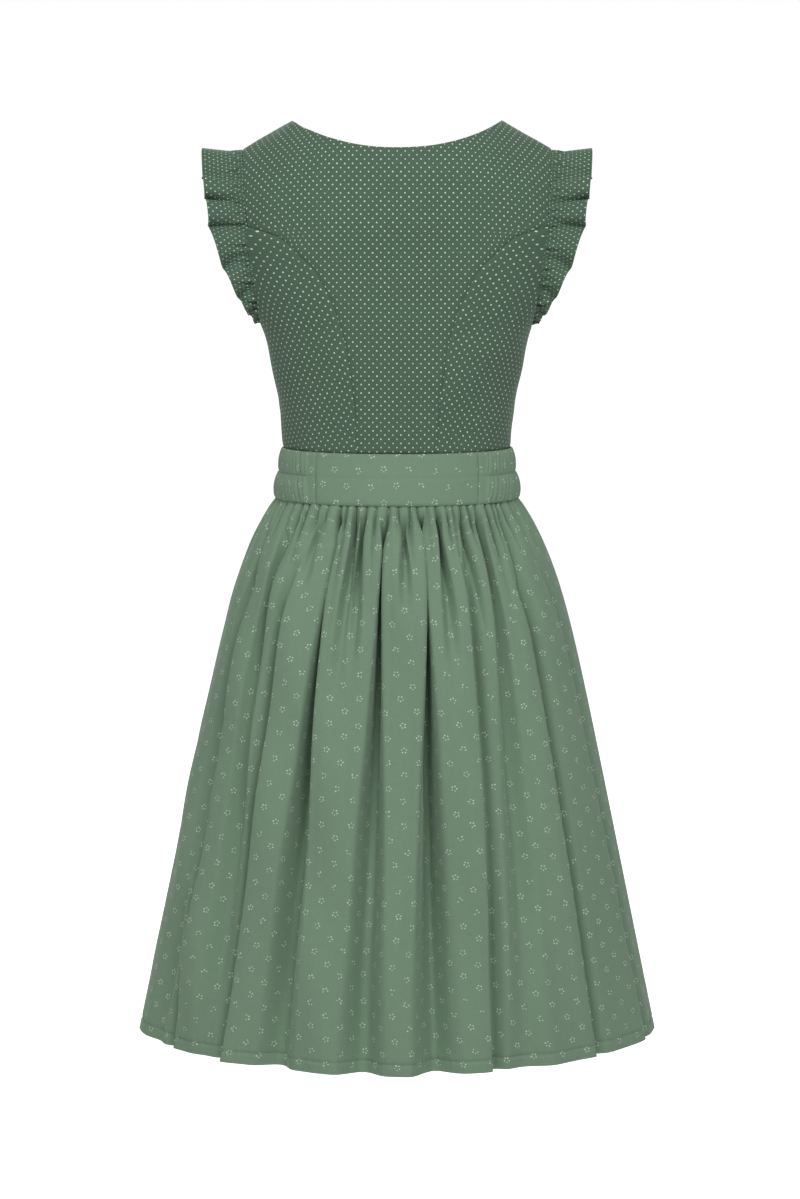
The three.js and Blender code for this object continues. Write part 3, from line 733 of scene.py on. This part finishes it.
def sew_band_centre(side):
    down = crowded(30, (0.008, 0.02, 0.04))[:, None]
    across = crowded(110, (0.003, 0.007, 0.013))[None, :]
    z = WAIST * (1 - down) + BAND_BOTTOM * down
    half_angle = band_seam_angle(side, z)
    points = by_angle(BAND, side, half_angle * (2 * across - 1), z)
    run = run_along(points, 1)
    places = np.stack([run - run[:, -1:] / 2, z - WAIST + 0 * run], axis=-1)
    normals = normals_of(points, side)
    points = points + normals * (0.0012 * np.sin(np.pi * down) ** 0.5)[..., None]
    points = stitch_groove(points, normals, (down - BAND_STITCH_SHARE) * (WAIST - BAND_BOTTOM) + 0 * run)
    points = roll_edges(points, normals, [(1, 0), (1, 1), (0, 0), (0, 1)], 0.0014, 0.0014)
    points = rumple(points, normals, 0.05, 0.00025, 21)
    piece = lay_cloth("waistband_" + side, points, places, (0, FACING[side], 0))
    finish_piece(piece, "band_" + side, BAND_SIDES)


sew_band_centre("back")
sew_band_centre("front")

SHIRR_PLAIN = 0.010
SHIRR_STEP = 0.0056
SHIRR_DEEP = 0.0024
SHIRR_PUFF = 0.0030


def shirred_side(hand, seed):
    down = crowded(46, (0.008, 0.02, 0.035))[:, None]
    z = WAIST * (1 - down) + BAND_BOTTOM * down
    share = np.linspace(0, 1, 151)[None, :]
    behind = band_seam_angle("back", z)
    before = band_seam_angle("front", z)
    rear = by_angle(BAND, "back", behind + (90 - behind) * share, z)
    fore = by_angle(BAND, "front", before + (90 - before) * share, z)
    points = np.concatenate([rear, fore[:, -2::-1]], axis=1)
    run = run_along(points, 1)
    length = run[:, -1:]
    normals = unit(np.cross(np.gradient(points, axis=1), np.gradient(points, axis=0)))
    normals *= np.sign(normals[..., :1])
    chance = np.random.default_rng(seed)
    plain = np.clip((np.minimum(run, length - run) - SHIRR_PLAIN) / 0.004, 0, 1)
    puff = np.zeros_like(run)
    for top, bottom, slant, swell in ((0, BAND_STITCH_SHARE, 0.0, 0.8), (BAND_STITCH_SHARE, 1, 0.006, 1.25)):
        inside = np.clip((down - top) / (bottom - top), 0, 1)
        bulge = np.sin(np.pi * inside) ** 0.7
        leaning = run + slant * (inside - 0.5)
        gather = np.zeros_like(run)
        at = SHIRR_PLAIN
        while at < length.max() - SHIRR_PLAIN:
            high = chance.uniform(0.5, 1.0)
            broad = chance.uniform(0.0008, 0.0014)
            gather += high * np.exp(-np.abs(leaning - at) / broad)
            at += SHIRR_STEP * chance.uniform(0.65, 1.4)
        rise = SHIRR_PUFF * swell * bulge - SHIRR_DEEP * gather * np.clip(bulge * 1.6, 0, 1)
        puff += rise * plain * ((down >= top) & (down < bottom))
    points = points + normals * puff[..., None]
    away = (down - BAND_STITCH_SHARE) * (WAIST - BAND_BOTTOM) + 0 * run
    points = stitch_groove(points, normals, away)
    points = roll_edges(points, normals, [(1, 0), (1, 1), (0, 0), (0, 1)], 0.0014, 0.0012)
    places = np.stack([(run - length / 2) * 1.5 * hand, z - WAIST + 0 * run], axis=-1)
    points[..., 0] *= hand
    return points, places


for hand, hand_name in ((1, "left"), (-1, "right")):
    points, places = shirred_side(hand, 31 + hand)
    piece = lay_cloth("waistband_side_" + hand_name, points, places, (hand, 0, 0))
    finish_piece(piece, "band_side_" + hand_name, BAND_SIDES)


# ---- Skirt --------------------------------------------------------------------------------------
# Two straight widths of the sprigged cotton, gathered tightly into the band. The fine gathers run
# together into long folds, deep near the band and soft at the hem, which is turned up and stitched.
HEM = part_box("skirt_back")[0].z
SKIRT_LONG = BAND_BOTTOM - HEM
SKIRT_CUT = (0.90, 0.66)
SKIRT_TUCK = 0.0012
SWELL_DROP = 0.062
SKIRT_HALF = (0.1400, 0.0314, 0.21)
SKIRT_REACH = {"back": (0.1020, 0.025, 0.125), "front": (0.0970, 0.025, 0.15)}
SKIRT_SQUARE = (2.15, -0.4)
HEM_DEEP = 0.013


def folds(names, rows):
    return [dict(zip(names.split(), row)) for row in rows]


# Deep folds: the angle from the middle of the panel at the band and at the hem, the drop from which
# and to which they run, how deep they are above and below, and how broad, in millimetres.
DEEP_FOLDS = {
    "back": folds("band hem start end deep_top deep_hem broad_top broad_hem crisp", [
        (-15, -11.5, 0, 760, 24, 9, 4.2, 21, 5.0),
        (7.5, 12, 10, 760, 19, 10, 4.6, 24, 4.0),
        (33.5, 40, 5, 760, 21, 9, 3.6, 22, 4.5),
        (-47, -42, 0, 760, 9, 5, 5.0, 26, 2.4),
        (60.5, 60, 20, 760, 9, 6, 6.0, 24, 2.4),
        (73, 79, 20, 760, 8, 7, 6.0, 22, 2.6),
        (-4, -6, 0, 150, 13, 0, 4.0, 9, 3.0),
        (20, 21, 0, 240, 11, 0, 4.0, 11, 2.6),
        (24.5, 28, 0, 280, 11, 0, 4.0, 12, 2.6),
        (-24.5, -23, 0, 240, 12, 0, 4.0, 11, 3.0),
        (-15.5, -16, 300, 800, 2, 8, 9.0, 20, 2.4),
        (44, 44, 0, 120, 8, 0, 4.0, 8, 2.6),
        (-37, -38, 0, 150, 9, 0, 4.0, 9, 2.6),
    ]),
    "front": folds("band hem start end deep_top deep_hem broad_top broad_hem crisp", [
        (13, 16, 0, 760, 20, 9, 4.2, 22, 4.5),
        (-6, -7, 8, 760, 17, 9, 4.4, 22, 4.0),
        (-24, -26, 0, 760, 21, 9, 4.0, 22, 4.5),
        (41, 45, 5, 760, 18, 8, 4.0, 23, 4.0),
        (-43, -44, 0, 760, 12, 6, 5.0, 25, 2.6),
        (-73, -78, 20, 760, 8, 7, 6.0, 22, 2.6),
        (74, 77, 20, 760, 8, 7, 6.0, 22, 2.6),
        (4, 5, 0, 170, 11, 0, 4.0, 9, 2.8),
        (27, 29, 0, 260, 12, 0, 4.0, 12, 2.8),
        (-15, -16, 0, 210, 11, 0, 4.0, 10, 2.8),
        (-34, -35, 0, 180, 10, 0, 4.0, 10, 2.6),
        (52, 53, 0, 150, 9, 0, 4.0, 9, 2.6),
    ]),
}
# Lapped folds: cloth that folds over towards the side along a crisp edge, with a hollow beyond it.
LAPPED_FOLDS = {
    "back": folds("band hem start high hollow", [
        (67, 70.5, 60, 3.4, 7.5),
        (46, 54, 40, 3.4, 8.0),
        (-31, -29.5, 20, 3.4, 8.0),
        (-54, -61, 60, 3.6, 7.5),
        (-70, -79, 60, 3.2, 7.0),
    ]),
    "front": folds("band hem start high hollow", [
        (62, 68, 60, 3.4, 7.5),
        (31, 34, 60, 3.2, 7.0),
        (-34, -37, 60, 3.4, 7.5),
        (-57, -63, 40, 3.6, 8.0),
    ]),
}
GATHER_STEP = 0.0108
MOST_DEEPENING = 3.0


def ease(value):
    value = np.clip(value, 0, 1)
    return value * value * (3 - 2 * value)


def skirt_size(sizes, drop):
    start, swell, spread = sizes
    return start + swell * (1 - np.exp(-drop / SWELL_DROP)) + spread * drop


def skirt_base(side, angle, drop):
    square = SKIRT_SQUARE[0] + SKIRT_SQUARE[1] * drop / SKIRT_LONG
    half = skirt_size(SKIRT_HALF, drop) - SKIRT_TUCK * np.exp(-drop / 0.006)
    reach = skirt_size(SKIRT_REACH[side], drop) - SKIRT_TUCK * np.exp(-drop / 0.006)
    sine, cosine = np.sin(np.radians(angle)), np.cos(np.radians(angle))
    radius = (np.abs(sine / half) ** square + np.abs(cosine / reach) ** square) ** (-1 / square)
    return np.stack([radius * sine, FACING[side] * radius * cosine, BAND_BOTTOM - drop + 0 * radius], axis=-1)


def skirt_rows():
    """Drops of the skirt's rows, close together under the band and round the hem's stitching."""
    share = np.linspace(0, 1, 72) ** 1.35
    main = (SKIRT_LONG - HEM_DEEP - 0.005) * share
    round_stitches = SKIRT_LONG - HEM_DEEP + np.array([-0.0022, -0.0011, 0, 0.0011, 0.0022, 0.0045])
    return np.concatenate([main, round_stitches, SKIRT_LONG - np.array([0.005, 0.0022, 0.0008, 0])])[:, None]


def taken_up(points, normals, along, inwards, sideways, ends):
    """Deepens or eases the folds, row by row, until each row is as long as the cloth was cut."""
    low, high = np.full((len(points), 1), 0.25), np.full((len(points), 1), MOST_DEEPENING)
    for _ in range(14):
        share = (low + high) / 2
        folded = points - normals * (inwards * share)[..., None] + along * (sideways * share)[..., None]
        long = run_along(folded, 1)[:, -1:]
        low, high = np.where(long < SKIRT_CUT[0], share, low), np.where(long < SKIRT_CUT[0], high, share)
    window = np.exp(-(np.arange(-9, 10) / 4.5) ** 2)
    padded = np.pad(share[:, 0], 9, mode="edge")
    share = np.convolve(padded, window / window.sum(), mode="valid")[:, None]
    share = share * ends + (1 - ends) * np.minimum(share, 1)
    return points - normals * (inwards * share)[..., None] + along * (sideways * share)[..., None]


def skirt(side, seed):
    angle = np.linspace(-90, 90, 561)[None, :]
    drop = skirt_rows()
    points = skirt_base(side, angle, drop)
    normals = normals_of(points, side)
    along = unit(np.gradient(points, axis=1))
    run = run_along(points, 1)
    down = drop / SKIRT_LONG
    chance = np.random.default_rng(seed)
    inwards = np.zeros(points.shape[:2])
    sideways = np.zeros(points.shape[:2])

    def away_from(band, hem):
        """How far round each point lies from a line that runs from one angle to another."""
        line = band + (hem - band) * down
        at = np.array([np.interp(line[i, 0], angle[0], run[i]) for i in range(len(run))])
        return run - at[:, None]

    for fold in DEEP_FOLDS[side]:
        away = away_from(fold["band"], fold["hem"])
        start, end = fold["start"] / 1000, fold["end"] / 1000
        through = np.clip((drop - start) / (end - start), 0, 1)
        shown = ease((drop - start + 0.004) / 0.045) * (1 - ease((drop - 0.6 * end) / (0.4 * end))
                                                        if end < SKIRT_LONG else 1)
        deep = (fold["deep_top"] + (fold["deep_hem"] - fold["deep_top"]) * ease(through)) / 1000 * shown
        broad = (fold["broad_top"] + (fold["broad_hem"] - fold["broad_top"]) * through ** 1.3) / 1000
        crisp = fold["crisp"] + (2.0 - fold["crisp"]) * through
        inwards += deep / (1 + (np.abs(away) / broad) ** crisp)
        lip = np.exp(-((np.abs(away) - 1.35 * broad) / (0.5 * broad)) ** 2)
        inwards -= 0.10 * deep * lip
        sideways -= np.sign(away) * 0.16 * deep * lip * (1 - ease(through * 1.6))

    for fold in LAPPED_FOLDS[side]:
        out = away_from(fold["band"], fold["hem"]) * np.sign(fold["hem"])
        shown = ease((drop - fold["start"] / 1000) / 0.09) * (1 - 0.45 * down)
        ridge = np.where(out < 0, np.exp(out / 0.026), np.exp(-out / 0.0030))
        hollow = np.exp(-((out - 0.0115) / 0.0085) ** 2)
        inwards += shown * (fold["hollow"] * hollow - fold["high"] * ridge) / 1000
        sideways += shown * np.sign(fold["hem"]) * 0.0026 * np.exp(-(out / 0.004) ** 2)

    at = GATHER_STEP * 0.3
    while at < run[0, -1]:
        long = chance.uniform(0.022, 0.065) * (2.2 if chance.random() < 0.3 else 1)
        deep = chance.uniform(0.0045, 0.0080)
        lean = chance.uniform(-2.5, 2.5)
        band_angle = np.interp(at, run[0], angle[0])
        away = away_from(band_angle, band_angle + lean * 4)
        broad = 0.0017 + 0.05 * drop
        inwards += deep * np.exp(-np.abs(away) / broad) * np.exp(-(drop / long) ** 2) * ease(drop / 0.003 + 0.45)
        at += GATHER_STEP * chance.uniform(0.6, 1.4)

    swell = sum(chance.uniform(0.5, 1) * np.sin(run / size + drop / length + chance.uniform(0, 6.3))
                for size, length in ((0.021, 0.4), (0.013, 0.3), (0.034, 0.5)))
    inwards += 0.0010 * swell * ease(drop / 0.08)
    inwards *= 1 - 0.6 * ease((np.abs(angle) - 64) / 22)
    seam = np.minimum(run, run[:, -1:] - run)
    inwards = inwards * ease(seam / 0.010 + 0.1)
    sideways = sideways * ease(seam / 0.012)
    points = taken_up(points, normals, along, inwards, sideways, ease(drop / 0.02))
    points = points - normals * (0.0011 * np.exp(-(seam / 0.0013) ** 2))[..., None]

    cloth = run_along(points, 1)
    places = np.stack([(cloth / cloth[:, -1:] - 0.5) * SKIRT_CUT[0],
                       -drop * SKIRT_CUT[1] / SKIRT_LONG + 0 * cloth], axis=-1)
    fresh = normals_of(points, side)
    from_hem = SKIRT_LONG - drop - HEM_DEEP + 0 * cloth
    pucker = 0.0003 * np.sin(cloth / 0.0014) * np.exp(-(from_hem / 0.006) ** 2)
    points = stitch_groove(points, fresh, from_hem, 0.0013, 0.0014) + fresh * pucker[..., None]
    return points, places


for side, seed in (("back", 41), ("front", 42)):
    points, places = skirt(side, seed)
    piece = lay_cloth("skirt_" + side, points, places, (0, FACING[side], 0.2))
    finish_piece(piece, "skirt_" + side, SKIRT_SIDES)


# ---- Finish -------------------------------------------------------------------------------------
bpy.ops.object.select_all(action="DESELECT")
